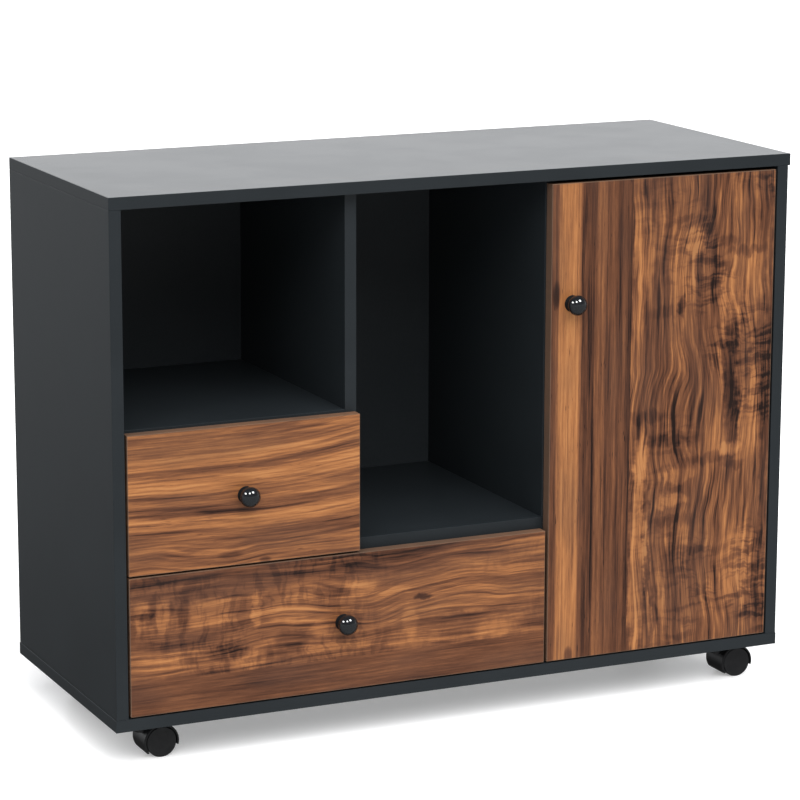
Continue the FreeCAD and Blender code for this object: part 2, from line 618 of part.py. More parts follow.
def caster_wheel(hub, out):
    """One wheel, from the inner face to the closed outer face along out."""
    r = WHEEL_RADIUS
    e = WHEEL_ROUND
    a, b = WHEEL_INNER, WHEEL_OUTER
    k = e * (1 - math.sqrt(0.5))
    floor = b - WHEEL_CAP
    return turned([
        [(AXLE_BORE, a), (r - e, a)],
        [(r - e, a), (r - k, a + k), (r, a + e)],
        [(r, a + e), (r, b - e)],
        [(r, b - e), (r - k, b - k), (r - e, b)],
        [(r - e, b), (0, b)],
        [(0, b), (0, floor)],
        [(0, floor), (AXLE_BORE, floor)],
        [(AXLE_BORE, floor), (AXLE_BORE, a)],
    ], hub, out, X)


def make_casters():
    for end_name, king_y in (("front", FRONT + CASTER_INSET_Y), ("rear", BACK - CASTER_INSET_Y)):
        for side_name, king_x in (("left", LEFT + CASTER_INSET_X),
                                  ("right", RIGHT - CASTER_INSET_X)):
            name = end_name + "_" + side_name + "_caster_"
            king = V(king_x, king_y, 0)
            hub = V(king_x + CASTER_TRAIL, king_y, WHEEL_RADIUS)
            boards[name + "housing"] = caster_housing(king, hub)
            axle_half = WHEEL_OUTER - WHEEL_CAP - 0.4
            boards[name + "axle"] = rod(
                hub - Y * axle_half, Y, AXLE_RADIUS, 2 * axle_half)
            boards[name + "wheel_a"] = caster_wheel(hub, -Y)
            boards[name + "wheel_b"] = caster_wheel(hub, Y)
            make_caster_plate(king)


def make_caster_plate(king):
    """Steel plate under the bottom board with the kingpin riveted in it, and four screws."""
    half = CASTER_PLATE_SIDE / 2
    low = UNDER - CASTER_PLATE
    plate = box(king.x - half, king.x + half, king.y - half, king.y + half, low, UNDER)
    corners = [e for e in plate.Edges if abs(e.tangentAt(e.FirstParameter).z) > 0.9]
    plate = plate.makeFillet(5.0, corners)
    pin = rod(V(king.x, king.y, KINGPIN_END), Z, KINGPIN_RADIUS, UNDER - KINGPIN_END)
    plate = plate.cut(pin)
    for dx in (-1, 1):
        for dy in (-1, 1):
            offset = V(dx, dy, 0) * (CASTER_HOLE_SPACING / 2)
            seat = V(king.x, king.y, low) + offset
            plate = plate.cut(rod(seat, Z, 2.2, CASTER_PLATE))
            drill("bottom_board", rod(seat + Z * CASTER_PLATE, Z, 2.0, 10))
            add("caster_screws", screw(seat, Z, 10 + CASTER_PLATE, 2.0, 4.0, 2.2))
    add("caster_plates", plate)
    add("caster_plates", pin)


# ---- build ----------------------------------------

def build():
    make_cabinet_boards()
    make_cabinet_joints()
    make_back_panels()
    make_adjustable_shelf()
    make_drawer("upper", LEFT_WALL, DIVIDER_LEFT, "left_side_panel", "upper_divider",
                MIDDLE_SHELF_TOP, UPPER_DRAWER_HEIGHT, UPPER_FRONT_WIDTH, UPPER_FRONT_BOTTOM)
    make_drawer("lower", LEFT_WALL, MAIN_LEFT, "left_side_panel", "main_divider",
                FLOOR_Z, LOWER_DRAWER_HEIGHT, LOWER_FRONT_WIDTH, LOWER_FRONT_BOTTOM)
    make_door()
    make_casters()


def save():
    os.makedirs("parts", exist_ok=True)
    for name, solid in boards.items():
        if name in holes:
            solid = solid.cut(holes[name])
        solid.exportStep("parts/%s.step" % name)
    for name, solids in groups.items():
        Part.makeCompound(solids).exportStep("parts/%s.step" % name)


build()
save()
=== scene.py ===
import bpy
import json
import math
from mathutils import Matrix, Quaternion, Vector


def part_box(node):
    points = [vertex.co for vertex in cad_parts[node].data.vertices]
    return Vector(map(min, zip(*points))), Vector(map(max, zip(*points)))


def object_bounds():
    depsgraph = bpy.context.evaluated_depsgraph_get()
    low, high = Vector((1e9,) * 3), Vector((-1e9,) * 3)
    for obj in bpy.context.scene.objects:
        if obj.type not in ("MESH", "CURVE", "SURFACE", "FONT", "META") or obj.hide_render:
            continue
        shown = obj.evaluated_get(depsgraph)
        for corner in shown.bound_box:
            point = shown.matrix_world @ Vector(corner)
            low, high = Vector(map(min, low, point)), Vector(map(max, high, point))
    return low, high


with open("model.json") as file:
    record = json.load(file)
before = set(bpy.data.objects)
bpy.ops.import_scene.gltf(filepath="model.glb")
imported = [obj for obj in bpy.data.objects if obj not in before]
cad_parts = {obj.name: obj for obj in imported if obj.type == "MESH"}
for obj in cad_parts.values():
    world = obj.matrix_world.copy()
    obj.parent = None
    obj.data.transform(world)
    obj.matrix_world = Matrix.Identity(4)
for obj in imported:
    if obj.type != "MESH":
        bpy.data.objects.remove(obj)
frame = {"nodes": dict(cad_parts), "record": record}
cad_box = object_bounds()

# Looks of the mobile printer stand. Metres, in the frame's axes: +X right, +Y back, +Z up.

MM = 0.001


# ---- a short way to write shader nodes -------------------------------------------------------

def set_stops(node, stops):
    """Sets a colour ramp's stops, each (position, colour)."""
    elements = node.color_ramp.elements
    while len(elements) < len(stops):
        elements.new(0.5)
    for element, (position, colour) in zip(elements, stops):
        element.position = position
        element.color = (*colour, 1.0)


class Value:
    """A shader socket that can be used in arithmetic."""

    def __init__(self, graph, socket):
        self.graph = graph
        self.socket = socket

    def __add__(self, other):
        return self.graph.math("ADD", self, other)

    def __radd__(self, other):
        return self.graph.math("ADD", other, self)

    def __sub__(self, other):
        return self.graph.math("SUBTRACT", self, other)

    def __rsub__(self, other):
        return self.graph.math("SUBTRACT", other, self)

    def __mul__(self, other):
        return self.graph.math("MULTIPLY", self, other)

    def __rmul__(self, other):
        return self.graph.math("MULTIPLY", other, self)


class Graph:
    """The node tree of one new material. x, y and z are the place on the object in metres."""

    def __init__(self, name):
        self.material = bpy.data.materials.new(name)
        self.material.use_nodes = True
        self.tree = self.material.node_tree
        self.tree.nodes.clear()
        coords = self.tree.nodes.new("ShaderNodeTexCoord")
        self.place = coords.outputs["Object"]
        split = self.tree.nodes.new("ShaderNodeSeparateXYZ")
        self.tree.links.new(self.place, split.inputs[0])
        self.x = Value(self, split.outputs[0])
        self.y = Value(self, split.outputs[1])
        self.z = Value(self, split.outputs[2])

    def set(self, socket, value):
        """Links a socket to a Value or another socket, or gives it a plain value."""
        if isinstance(value, Value):
            value = value.socket
        if isinstance(value, bpy.types.NodeSocket):
            self.tree.links.new(value, socket)
        elif isinstance(value, (tuple, list)) and len(value) == 3 and socket.type == "RGBA":
            socket.default_value = (*value, 1.0)
        else:
            socket.default_value = value

    def math(self, operation, a, b):
        node = self.tree.nodes.new("ShaderNodeMath")
        node.operation = operation
        self.set(node.inputs[0], a)
        self.set(node.inputs[1], b)
        return Value(self, node.outputs[0])

    def vector(self, x, y, z):
        node = self.tree.nodes.new("ShaderNodeCombineXYZ")
        for socket, value in zip(node.inputs, (x, y, z)):
            self.set(socket, value)
        return node.outputs[0]

    def stretched(self, x, y, z):
        """The place counted in waves, with x, y and z waves to the metre along the axes."""
        return self.vector(self.x * x, self.y * y, self.z * z)

    def noise(self, vector, scale=1.0, detail=2.0, rough=0.5):
        """Noise about 0.5, with scale waves to each unit of vector."""
        node = self.tree.nodes.new("ShaderNodeTexNoise")
        self.set(node.inputs["Vector"], vector)
        self.set(node.inputs["Scale"], scale)
        self.set(node.inputs["Detail"], detail)
        self.set(node.inputs["Roughness"], rough)
        return Value(self, node.outputs["Fac"])

    def grain(self, across, along, waves_across, waves_along, seed, detail=1.0, rough=0.5):
        """Noise about 0.5, with so many waves to the metre across and along the grain."""
        vector = self.vector(across * waves_across, along * waves_along, seed)
        return self.noise(vector, 1.0, detail, rough)

    def span(self, value, low, high, to_low=0.0, to_high=1.0, smooth=True):
        """Value from low to high, mapped to to_low to to_high and held there beyond."""
        node = self.tree.nodes.new("ShaderNodeMapRange")
        node.interpolation_type = "SMOOTHSTEP" if smooth else "LINEAR"
        for name, v in (("Value", value), ("From Min", low), ("From Max", high),
                        ("To Min", to_low), ("To Max", to_high)):
            self.set(node.inputs[name], v)
        return Value(self, node.outputs["Result"])

    def ramp(self, value, stops):
        """Colour by value. Stops are (value, colour), in rising order from 0 to 1."""
        node = self.tree.nodes.new("ShaderNodeValToRGB")
        set_stops(node, stops)
        self.set(node.inputs[0], value)
        return node.outputs["Color"]

    def mix(self, factor, a, b):
        """Colour between a and b."""
        node = self.tree.nodes.new("ShaderNodeMix")
        node.data_type = "RGBA"
        self.set(node.inputs["Factor"], factor)
        sockets = [s for s in node.inputs if s.type == "RGBA"]
        self.set(sockets[0], a)
        self.set(sockets[1], b)
        return next(s for s in node.outputs if s.type == "RGBA")

    def bump(self, height, strength, distance):
        node = self.tree.nodes.new("ShaderNodeBump")
        self.set(node.inputs["Strength"], strength)
        self.set(node.inputs["Distance"], distance)
        self.set(node.inputs["Height"], height)
        return node.outputs["Normal"]

    def finish(self, normal=None, **values):
        """Ends in a Principled shader with these inputs, given by their names in lower case."""
        shader = self.tree.nodes.new("ShaderNodeBsdfPrincipled")
        output = self.tree.nodes.new("ShaderNodeOutputMaterial")
        self.tree.links.new(shader.outputs[0], output.inputs[0])
        named = {s.name.lower().replace(" ", "_"): s for s in shader.inputs}
        for key, value in values.items():
            self.set(named[key], value)
        if normal is not None:
            self.set(named["normal"], normal)
        return self.material


# ---- black boards ----------------------------------------------------------------------------

BOARD_TONE = (0.0104, 0.0127, 0.0144)
BOARD_ROUGHNESS = 0.32
BOARD_SPECULAR = 0.22
SATIN_ROUGHNESS = 0.24      # the upper face of the top board
SATIN_SPECULAR = 0.50
SATIN_DEPTH = 0.3 * MM      # how far below the top the satin face reaches
BOARD_SHADES = (0.93, 1.07)  # the clouds' darkest and lightest, as shares of the tone
BOARD_CLOUD = 9.0           # waves to the metre
BOARD_PEBBLE = 1500.0
PEBBLE_DEPTH = 0.12 * MM
HARDBOARD_DARK = (0.0150, 0.0178, 0.0200)
HARDBOARD_LIGHT = (0.0205, 0.0238, 0.0262)
HARDBOARD_ROUGHNESS = 0.5
FIBRE_DEPTH = 0.12 * MM


def melamine(name, polished_above=None):
    """Black melamine-faced board with a fine pressed texture and faint cloudiness. Faces
    above the height polished_above are satin and catch more light."""
    g = Graph(name)
    cloud = g.noise(g.place, BOARD_CLOUD, detail=3.0, rough=0.55)
    pebble = g.noise(g.place, BOARD_PEBBLE, detail=2.0, rough=0.6)
    dark, light = (tuple(shade * c for c in BOARD_TONE) for shade in BOARD_SHADES)
    colour = g.mix(g.span(cloud, 0.3, 0.7), dark, light)
    rough = g.span(cloud, 0.3, 0.7, BOARD_ROUGHNESS * 0.96, BOARD_ROUGHNESS * 1.04)
    specular = BOARD_SPECULAR
    if polished_above is not None:
        polish = g.math("GREATER_THAN", g.z, polished_above)
        rough = rough * (1.0 - polish * (1.0 - SATIN_ROUGHNESS / BOARD_ROUGHNESS))
        specular = polish * (SATIN_SPECULAR - BOARD_SPECULAR) + BOARD_SPECULAR
    normal = g.bump(pebble, 0.10, PEBBLE_DEPTH)
    return g.finish(normal=normal, base_color=colour, roughness=rough,
                    specular_ior_level=specular)


def hardboard():
    """Thin black-faced back panel and drawer bottoms, with short pressed fibres."""
    g = Graph("hardboard_black")
    fibre = g.noise(g.stretched(900.0, 900.0, 240.0), detail=3.0, rough=0.65)
    cloud = g.noise(g.place, 7.0)
    colour = g.mix(g.span(0.5 * fibre + 0.5 * cloud, 0.35, 0.65),
                   HARDBOARD_DARK, HARDBOARD_LIGHT)
    normal = g.bump(fibre, 0.25, FIBRE_DEPTH)
    return g.finish(normal=normal, base_color=colour, roughness=HARDBOARD_ROUGHNESS,
                    specular_ior_level=BOARD_SPECULAR)


# ---- walnut print ----------------------------------------------------------------------------

# The print's colour by lightness, from the darkest streak to the brightest.
WOOD_TONES = [
    (0.00, (0.0085, 0.0044, 0.0034)),
    (0.15, (0.0270, 0.0110, 0.0066)),
    (0.32, (0.0550, 0.0206, 0.0098)),
    (0.50, (0.0880, 0.0340, 0.0152)),
    (0.68, (0.1390, 0.0545, 0.0210)),
    (0.85, (0.2080, 0.0830, 0.0285)),
    (1.00, (0.2600, 0.1130, 0.0400)),
]
WOOD_GREY = (0.036, 0.0195, 0.0150)
WOOD_GREY_MOST = 0.30       # the largest share of grey in the colour
WOOD_SPECULAR = 0.16
DARK_STREAK_ROUGHNESS = 0.50
BRIGHT_STREAK_ROUGHNESS = 0.42
PORE_DEPTH = 0.1 * MM
EDGE_BAND = 0.9 * MM        # the lighter edge of the print, all round
EDGE_COLOUR = (0.085, 0.055, 0.038)
EDGE_MIX = 0.7
FIBRE_AMOUNT = 0.85         # change of lightness from the finest streaks
PORE_AMOUNT = 0.20
BRIGHT_CORE = 0.25          # where a soft oval starts to fade, as a share of its size squared
DARK_CORE = 0.10
OVAL_END = 1.15             # where it has faded out
BULGE_END = 1.6


def patches(g, across, along, marks):
    """Sum of soft ovals. Each mark is (across, along, half width, half length, strength),
    in millimetres, and strength is added to the lightness."""
    total = 0.0
    for centre_a, centre_g, half_a, half_g, strength in marks:
        u = (across - centre_a * MM) * (1 / (half_a * MM))
        v = (along - centre_g * MM) * (1 / (half_g * MM))
        core = BRIGHT_CORE if strength > 0 else DARK_CORE
        total = total + g.span(u * u + v * v, core, OVAL_END, strength, 0.0)
    return total


def bulges(g, across, along, marks):
    """How far the grain is pushed sideways, in metres. Each mark is (across, along,
    half width, half length, push) in millimetres."""
    total = 0.0
    for centre_a, centre_g, half_a, half_g, push in marks:
        u = (across - centre_a * MM) * (1 / (half_a * MM))
        v = (along - centre_g * MM) * (1 / (half_g * MM))
        total = total + g.span(u * u + v * v, 0.0, BULGE_END, push * MM, 0.0)
    return total


def wood(name, node, grain_up, lightness):
    """A wood-print front. lightness(g, across, along) gives 0 for the darkest streak and 1
    for the brightest, from distances in metres across and along the grain."""
    low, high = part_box(node)
    g = Graph(name)
    right = g.x - low.x
    up = g.z - low.z
    across, along = (right, up) if grain_up else (up, right)
    level = lightness(g, across, along)
    pore = g.grain(across, along, 1300.0, 60.0, 3.1, detail=2.0, rough=0.6)
    fibre = g.grain(across, along, 400.0, 15.0, 7.7, detail=4.0, rough=0.78)
    level = level + FIBRE_AMOUNT * (fibre - 0.5) + PORE_AMOUNT * (pore - 0.5)
    colour = g.ramp(level, WOOD_TONES)
    hue = g.grain(across, along, 24.0, 6.0, 1.3, detail=2.0)
    colour = g.mix(g.span(hue, 0.40, 0.68, 0.0, WOOD_GREY_MOST), colour, WOOD_GREY)
    edge_x = g.math("MINIMUM", right, high.x - g.x)
    edge_z = g.math("MINIMUM", up, high.z - g.z)
    edge = g.math("MINIMUM", edge_x, edge_z)
    band = g.span(edge, EDGE_BAND * 0.75, EDGE_BAND, 1.0, 0.0, smooth=False)
    colour = g.mix(band * EDGE_MIX, colour, EDGE_COLOUR)
    normal = g.bump(pore * 0.6 + fibre * 0.4, 0.12, PORE_DEPTH)
    rough = g.span(level, 0.2, 0.9, DARK_STREAK_ROUGHNESS, BRIGHT_STREAK_ROUGHNESS)
    return g.finish(normal=normal, base_color=colour, roughness=rough,
                    specular_ior_level=WOOD_SPECULAR)


def grain_bend(g, across, along, seed, reach):
    """Across, moved sideways by up to about reach millimetres as the grain wanders."""
    sway = g.grain(across, along, 6.0, 4.5, seed)
    wave = g.grain(across, along, 15.0, 13.0, seed + 5.0)
    kink = g.grain(across, along, 45.0, 34.0, seed + 6.0)
    return (across + (sway - 0.5) * (2.6 * reach * MM) + (wave - 0.5) * (1.5 * reach * MM)
            + (kink - 0.5) * (0.30 * reach * MM))


def grain_lines(g, bent, along, seed, bands, streaks, lines):
    """Change of lightness from broad bands, streaks and thin dark lines that follow the grain."""
    broad = g.grain(bent, along, 30.0, 1.6, seed)
    middle = g.grain(bent, along, 110.0, 5.0, seed + 1.0, detail=2.0, rough=0.6)
    narrow = g.grain(bent, along, 250.0, 9.0, seed + 2.0, detail=2.0, rough=0.7)
    thin = g.grain(bent, along, 170.0, 8.0, seed + 3.0)
    return ((broad - 0.5) * bands + (middle - 0.5) * streaks + (narrow - 0.5) * (1.6 * lines)
            - g.span(thin, 0.58, 0.70, 0.0, 0.42 * lines))


def feathers(g, across, along, seed):
    """Short dark bars across the grain with frayed ends, 0 to 1."""
    fray = g.grain(across, along, 120.0, 40.0, seed, detail=2.0)
    drift = g.grain(across, along, 20.0, 20.0, seed + 1.0)
    bars = g.noise(g.vector(across * 26.0 + drift * 1.5, along * 92.0 + fray * 0.7 + drift * 2.0,
                            seed + 2.0), rough=0.65)
    return g.span(bars, 0.44, 0.62)


def frayed(g, across, along, seed, amount):
    """The same place moved a little at random, so that a soft oval gets a ragged outline."""
    shift_a = g.grain(across, along, 30.0, 45.0, seed, detail=3.0, rough=0.6)
    shift_g = g.grain(across, along, 85.0, 30.0, seed + 1.0, detail=3.0, rough=0.6)
    return (across + (shift_a - 0.5) * (amount * MM),
            along + (shift_g - 0.5) * (1.2 * amount * MM))


def ticks(g, across, along, seed, strength):
    """Short dark pores along the grain, as a change of lightness."""
    dashes = g.grain(across, along, 520.0, 52.0, seed)
    sparse = g.grain(across, along, 60.0, 16.0, seed + 1.0)
    return g.span(dashes, 0.66, 0.76, 0.0, strength) * g.span(sparse, 0.48, 0.62)


def stripes(g, across, width, stops):
    """Lightness of straight stripes over width millimetres. Stops are (fraction of the
    width, lightness)."""
    shades = [(place, (shade, shade, shade)) for place, shade in stops]
    return Value(g, g.ramp(across * (1 / (width * MM)), shades))


# Places in the three prints are in millimetres, across and along the grain.
DOOR_PLANK = 112.0          # width of the straight-grained plank at the door's left
DOOR_LEVEL = 0.53           # lightness of the flowing part before its figure
DOOR_STRIPES = [
    (0.00, 0.40), (0.06, 0.44), (0.10, 0.80), (0.22, 0.86), (0.34, 0.80), (0.38, 0.50),
    (0.42, 0.34), (0.47, 0.30), (0.53, 0.36), (0.57, 0.60), (0.64, 0.62), (0.69, 0.36),
    (0.76, 0.48), (0.83, 0.32), (0.90, 0.42), (1.00, 0.26),
]
DOOR_PLANK_MARKS = [
    (7, 464, 6, 20, -0.42),
    (60, 180, 2.6, 190, -0.26),
    (50, 60, 4, 90, -0.20),
    (54, 420, 3, 110, -0.16),
    (30, 4, 7, 14, -0.40),
    (68, 420, 5, 150, -0.10),
]
DOOR_BENDS = [
    (150, 290, 60, 60, 14.0),
    (190, 590, 50, 70, -8.0),
    (215, 450, 50, 90, 10.0),
    (240, 350, 60, 90, -8.0),
    (140, 180, 34, 90, 7.0),
    (230, 120, 50, 90, 8.0),
]
DOOR_MARKS = [
    (128, 515, 18, 60, 0.20),
    (122, 440, 11, 46, 0.14),
    (132, 588, 9, 18, -0.20),
    (154, 572, 14, 34, 0.14),
    (201, 517, 14, 21, 0.34),
    (165, 512, 12, 44, 0.14),
    (172, 464, 32, 24, 0.12),
    (160, 432, 28, 9, -0.14),
    (182, 438, 5, 15, -0.30),
    (176, 380, 9, 70, 0.12),
    (232, 545, 30, 110, -0.20),
    (250, 515, 18, 9, -0.16),
    (275, 575, 24, 26, 0.08),
    (276, 502, 34, 7, -0.22),
    (276, 455, 26, 56, 0.18),
    (222, 400, 24, 60, -0.10),
    (254, 350, 12, 96, -0.34),
    (262, 290, 8, 60, -0.24),
    (284, 330, 18, 120, 0.18),
    (283, 372, 8, 6, -0.22),
    (136, 300, 34, 9, -0.20),
    (172, 268, 44, 11, -0.22),
    (228, 240, 46, 9, -0.20),
    (128, 246, 14, 44, 0.30),
    (256, 250, 18, 11, 0.30),
    (262, 229, 24, 6, -0.20),
    (182, 222, 32, 12, 0.18),
    (172, 190, 28, 11, 0.26),
    (178, 164, 38, 9, -0.18),
    (160, 140, 22, 9, 0.10),
    (190, 112, 38, 24, -0.14),
    (208, 180, 14, 50, -0.10),
    (138, 185, 6, 40, -0.24),
    (139, 108, 5, 50, -0.28),
    (150, 40, 6, 40, -0.24),
    (125, 110, 14, 160, 0.30),
    (245, 160, 44, 60, 0.06),
    (272, 95, 32, 60, 0.22),
    (240, 50, 26, 44, 0.14),
    (282, 32, 8, 8, -0.34),
    (302, 40, 12, 26, -0.24),
    (308, 300, 8, 320, -0.18),
    (302, 560, 13, 70, -0.16),
]


def door_lightness(g, across, along):
    """Lightness of the door: a straight-grained plank at the left, flowing grain beyond."""
    wander = g.grain(across, along, 14.0, 4.0, 2.0, detail=2.0)
    straight = across + (wander - 0.5) * (7.0 * MM)
    plank = (stripes(g, straight, DOOR_PLANK, DOOR_STRIPES)
             + grain_lines(g, straight, along * 0.35, seed=4.0,
                           bands=0.15, streaks=0.45, lines=0.42)
             + patches(g, straight, along, DOOR_PLANK_MARKS)
             + ticks(g, straight, along, seed=8.0, strength=-0.55))
    bent = (grain_bend(g, across, along, seed=11.0, reach=9.0)
            + bulges(g, across, along, DOOR_BENDS))
    ragged_a, ragged_g = frayed(g, across, along, seed=25.0, amount=26.0)
    where = g.grain(across, along, 10.0, 7.0, 31.0)
    amount = g.span(across, 150 * MM, 240 * MM, 0.10, 0.34) * g.span(where, 0.42, 0.60)
    flowing = (DOOR_LEVEL + grain_lines(g, bent, along, seed=14.0,
                                        bands=0.7, streaks=1.15, lines=0.80)
               + patches(g, ragged_a, ragged_g, DOOR_MARKS)
               - feathers(g, across, along, seed=21.0) * amount)
    beyond = g.math("GREATER_THAN", across, DOOR_PLANK * MM)
    return plank + (flowing - plank) * beyond


LOWER_JOINT = 39.6          # height of the plank joint above the lower front's bottom edge
LOWER_LEVEL = 0.57          # lightness above the joint before its figure
LOWER_PLAIN_LEVEL = 0.42    # and below it
LOWER_BENDS = [
    (120, 330, 40, 90, 8.0),
    (95, 275, 40, 70, 9.0),
    (110, 400, 40, 80, -9.0),
    (80, 210, 30, 80, -6.0),
    (100, 100, 40, 100, 5.0),
]
LOWER_MARKS = [
    (155, 200, 24, 330, -0.16),
    (164, 60, 9, 70, -0.14),
    (150, 480, 14, 110, 0.12),
    (122, 16, 20, 12, 0.20),
    (118, 42, 26, 12, 0.20),
    (118, 100, 24, 34, 0.20),
    (118, 68, 26, 9, -0.18),
    (114, 160, 28, 8, 0.24),
    (110, 205, 20, 40, 0.20),
    (128, 262, 14, 28, -0.12),
    (127, 298, 14, 26, 0.26),
    (118, 334, 9, 30, 0.14),
    (105, 380, 5, 14, -0.45),
    (90, 440, 14, 70, 0.10),
    (122, 20, 4, 20, -0.26),
    (82, 60, 7, 80, -0.14),
    (66, 120, 10, 36, -0.26),
    (72, 208, 14, 32, -0.26),
    (56, 40, 15, 44, 0.14),
    (52, 152, 14, 26, 0.20),
    (78, 240, 9, 16, 0.16),
    (52, 262, 11, 60, 0.14),
    (76, 362, 26, 12, 0.16),
    (50, 370, 13, 44, 0.18),
    (52, 478, 13, 36, 0.20),
    (68, 540, 20, 16, -0.10),
    (72, 440, 7, 90, -0.12),
]


def lower_lightness(g, across, along):
    """Lightness of the lower front: flowing grain above a plainer strip."""
    bent = (grain_bend(g, across, along, seed=41.0, reach=6.0)
            + bulges(g, across, along, LOWER_BENDS))
    ragged_a, ragged_g = frayed(g, across, along, seed=55.0, amount=18.0)
    where = g.grain(across, along, 12.0, 6.0, 61.0)
    upper = (LOWER_LEVEL + grain_lines(g, bent, along * 0.7, seed=44.0,
                                       bands=0.40, streaks=0.85, lines=0.55)
             + patches(g, ragged_a, ragged_g, LOWER_MARKS)
             - feathers(g, across, along, seed=51.0) * g.span(where, 0.44, 0.6, 0.0, 0.17)
             * g.span(along, 250 * MM, 380 * MM, 1.0, 0.35))
    tint = g.grain(across, along, 14.0, 9.0, 73.0)
    plain = (LOWER_PLAIN_LEVEL + grain_lines(g, across, along * 0.4, seed=71.0,
                                             bands=0.10, streaks=0.34, lines=0.22)
             + (tint - 0.5) * 0.40)
    below = g.math("LESS_THAN", across, LOWER_JOINT * MM)
    return upper + (plain - upper) * below


UPPER_HEIGHT = 169.0        # what the bands' fractions are of, from the bottom edge up
UPPER_WIDTH = 295.5
UPPER_LIFT = 0.10           # how much the grain spreads towards the right end
UPPER_LEVEL = 0.135         # added to the bands' lightness
UPPER_BANDS = [
    (0.00, 0.50), (0.03, 0.36), (0.07, 0.56), (0.11, 0.42), (0.15, 0.58), (0.20, 0.44),
    (0.26, 0.40), (0.30, 0.66), (0.36, 0.70), (0.40, 0.36), (0.45, 0.34), (0.47, 0.58),
    (0.50, 0.62), (0.53, 0.42), (0.56, 0.50), (0.58, 0.72), (0.68, 0.74), (0.695, 0.34),
    (0.73, 0.44), (0.76, 0.66), (0.81, 0.70), (0.83, 0.44), (0.88, 0.62), (0.92, 0.48),
    (0.96, 0.38), (1.00, 0.55),
]
UPPER_BENDS = [
    (40, 20, 50, 110, -5.0),
    (12, 100, 20, 60, 6.0),
    (70, 150, 60, 130, 3.0),
]
UPPER_MARKS = [
    (152, 235, 12, 60, -0.12),
    (13, 128, 7, 18, -0.16),
    (3, 172, 4, 9, -0.30),
    (18, 105, 6, 30, 0.20),
    (70, 60, 8, 60, -0.10),
]


def upper_lightness(g, across, along):
    """Lightness of the upper front: nearly straight bands that spread to the right."""
    reach = along * (1 / (UPPER_WIDTH * MM))
    lift = g.math("POWER", reach, 3.0) * across * UPPER_LIFT
    bent = (grain_bend(g, across, along, seed=82.0, reach=2.4) - lift
            + bulges(g, across, along, UPPER_BENDS))
    return (stripes(g, bent, UPPER_HEIGHT, UPPER_BANDS)
            + grain_lines(g, bent, along * 0.6, seed=84.0, bands=0.15, streaks=0.60, lines=0.60)
            + patches(g, across, along, UPPER_MARKS)
            + ticks(g, bent, along, seed=88.0, strength=-0.25) + UPPER_LEVEL)


# ---- plastics and metals ---------------------------------------------------------------------

KNOB_DULL_UP_TO = 10.6      # millimetres out from the front: the knob's dull base and neck
KNOB_POLISHED_FROM = 12.0   # and its polished head
KNOB_DULL = (0.34, 0.02)    # roughness and specular
KNOB_POLISH = (0.03, 0.60)
KNOBS = ("upper_drawer_knob", "lower_drawer_knob", "door_knob")


def gloss_black():
    """Black knob: a polished head with faint orange peel, and a duller neck and base."""
    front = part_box("door_panel")[0].y
    g = Graph("knob_gloss_black")
    peel = g.noise(g.place, 260.0)
    haze = g.noise(g.place, 90.0)
    colour = g.mix(haze, (0.003, 0.0035, 0.004), (0.005, 0.0055, 0.006))
    head = g.span(front - g.y, KNOB_DULL_UP_TO * MM, KNOB_POLISHED_FROM * MM)
    rough = (g.span(head, 0.0, 1.0, KNOB_DULL[0], KNOB_POLISH[0], smooth=False)
             + g.span(haze, 0.3, 0.7, 0.0, 0.03))
    specular = g.span(head, 0.0, 1.0, KNOB_DULL[1], KNOB_POLISH[1], smooth=False)
    normal = g.bump(peel, 0.02, 0.1 * MM)
    return g.finish(normal=normal, base_color=colour, roughness=rough,
                    specular_ior_level=specular)


def moulded(name, dark, light, roughness):
    """Injection-moulded plastic with a fine spark-eroded grain and scuffs."""
    g = Graph(name)
    grain = g.noise(g.place, 2200.0, detail=2.0, rough=0.6)
    scuff = g.noise(g.place, 130.0, detail=4.0, rough=0.7)
    colour = g.mix(g.span(scuff, 0.4, 0.7), dark, light)
    rough = g.span(scuff, 0.35, 0.7, roughness * 0.9, roughness * 1.12)
    normal = g.bump(grain, 0.2, 0.08 * MM)
    return g.finish(normal=normal, base_color=colour, roughness=rough, specular_ior_level=0.35)


def metal(name, tone, roughness, brushed=0.0):
    """Plated or cast metal with fine scratches and faint mottling."""
    g = Graph(name)
    mottled = g.noise(g.place, 160.0, detail=3.0, rough=0.6)
    scratch = g.noise(g.stretched(2600.0, 120.0, 2600.0), detail=2.0, rough=0.6)
    dark = tuple(0.86 * c for c in tone)
    colour = g.mix(g.span(mottled, 0.35, 0.65), dark, tone)
    rough = g.span(scratch, 0.3, 0.7, roughness * 0.8, roughness * 1.2)
    normal = g.bump(scratch, 0.06 + brushed, 0.05 * MM)
    return g.finish(normal=normal, base_color=colour, roughness=rough, metallic=1.0)


def powder_coat():
    """Black powder coat with an orange peel."""
    g = Graph("runner_powder_coat")
    peel = g.noise(g.place, 700.0, detail=3.0, rough=0.55)
    colour = g.mix(peel, (0.016, 0.016, 0.018), (0.028, 0.028, 0.030))
    normal = g.bump(peel, 0.3, 0.15 * MM)
    return g.finish(normal=normal, base_color=colour, roughness=0.38)


def beech():
    """Plain beech with short flecks."""
    g = Graph("beech_dowel")
    fleck = g.noise(g.stretched(500.0, 500.0, 60.0), detail=3.0, rough=0.6)
    colour = g.mix(g.span(fleck, 0.35, 0.7), (0.50, 0.33, 0.18), (0.66, 0.48, 0.29))
    return g.finish(normal=g.bump(fleck, 0.2, 0.1 * MM), base_color=colour, roughness=0.6)


# ---- which material goes on which slot of the record -----------------------------------------

